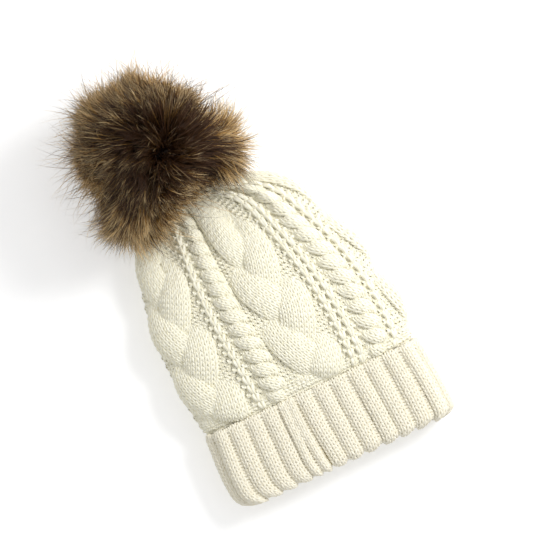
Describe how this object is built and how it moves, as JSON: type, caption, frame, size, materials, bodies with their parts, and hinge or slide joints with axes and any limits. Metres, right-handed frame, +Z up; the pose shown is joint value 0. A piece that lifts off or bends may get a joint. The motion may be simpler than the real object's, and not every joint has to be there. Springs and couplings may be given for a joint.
{
  "type": "pom pom beanie",
  "caption": "Chunky cable-knit winter beanie lying flat, with a deep turned-up ribbed cuff and a detachable long-haired faux-fur pom pom on a snap.",
  "frame": {"origin": "on the surface the hat lies on, under the middle of the whole hat's box", "axes": "+Y from the hem towards the pom, +Z up through the flat hat, X across the cuff"},
  "size_m": [0.201, 0.37, 0.132],
  "materials": {
    "cream_knit": "soft chunky acrylic knit, matte with a faint sheen on each stitch",
    "cream_yarn": "plied acrylic yarn",
    "label_satin": "blank white satin ribbon",
    "felt": "pressed felt",
    "snap_metal": "nickel-plated brass",
    "brown_backing": "soft brown faux suede",
    "brown_fur": "long faux raccoon fur, near-black at the roots and core, olive tan towards the ends, fine dark tips",
    "brown_thread": "twisted polyester thread",
    "white_fibre": "polyester fibrefill"
  },
  "bodies": {
    "hat": {"cable_knit_crown": "cream_knit", "rib_band": "cream_knit", "back_seam": "cream_yarn", "care_label": "label_satin"},
    "cuff": {"turned_up_cuff": "cream_knit"},
    "crown_tip": {"crown_gather": "cream_knit", "gather_yarn": "cream_yarn", "backing_washer": "felt", "socket_cap": "snap_metal", "snap_socket": "snap_metal"},
    "stud": {"snap_stud": "snap_metal", "stud_cap": "snap_metal"},
    "pom": {"pom_base_disc": "brown_backing", "pom_fur_cover": "brown_fur", "pom_drawstring": "brown_thread", "pom_stuffing": "white_fibre"}
  },
  "joints": [
    {"name": "cuff_turn_down", "type": "slide", "parent": "hat", "child": "cuff", "axis": [0, -1, 0], "range_m": [0, 0.066]},
    {"name": "pom_nod", "type": "hinge", "parent": "hat", "child": "crown_tip", "pos_m": [-0.02, 0.071, 0.025], "axis": [1, 0, 0], "range_deg": [0, 40]},
    {"name": "pom_pull_off", "type": "slide", "parent": "crown_tip", "child": "stud", "axis": [0, 0.7604, 0.6495], "range_m": [0, 0.03]},
    {"name": "pom_swivel", "type": "hinge", "parent": "stud", "child": "pom", "pos_m": [-0.02, 0.071, 0.025], "axis": [0, 0.7604, 0.6495], "continuous": true}
  ]
}
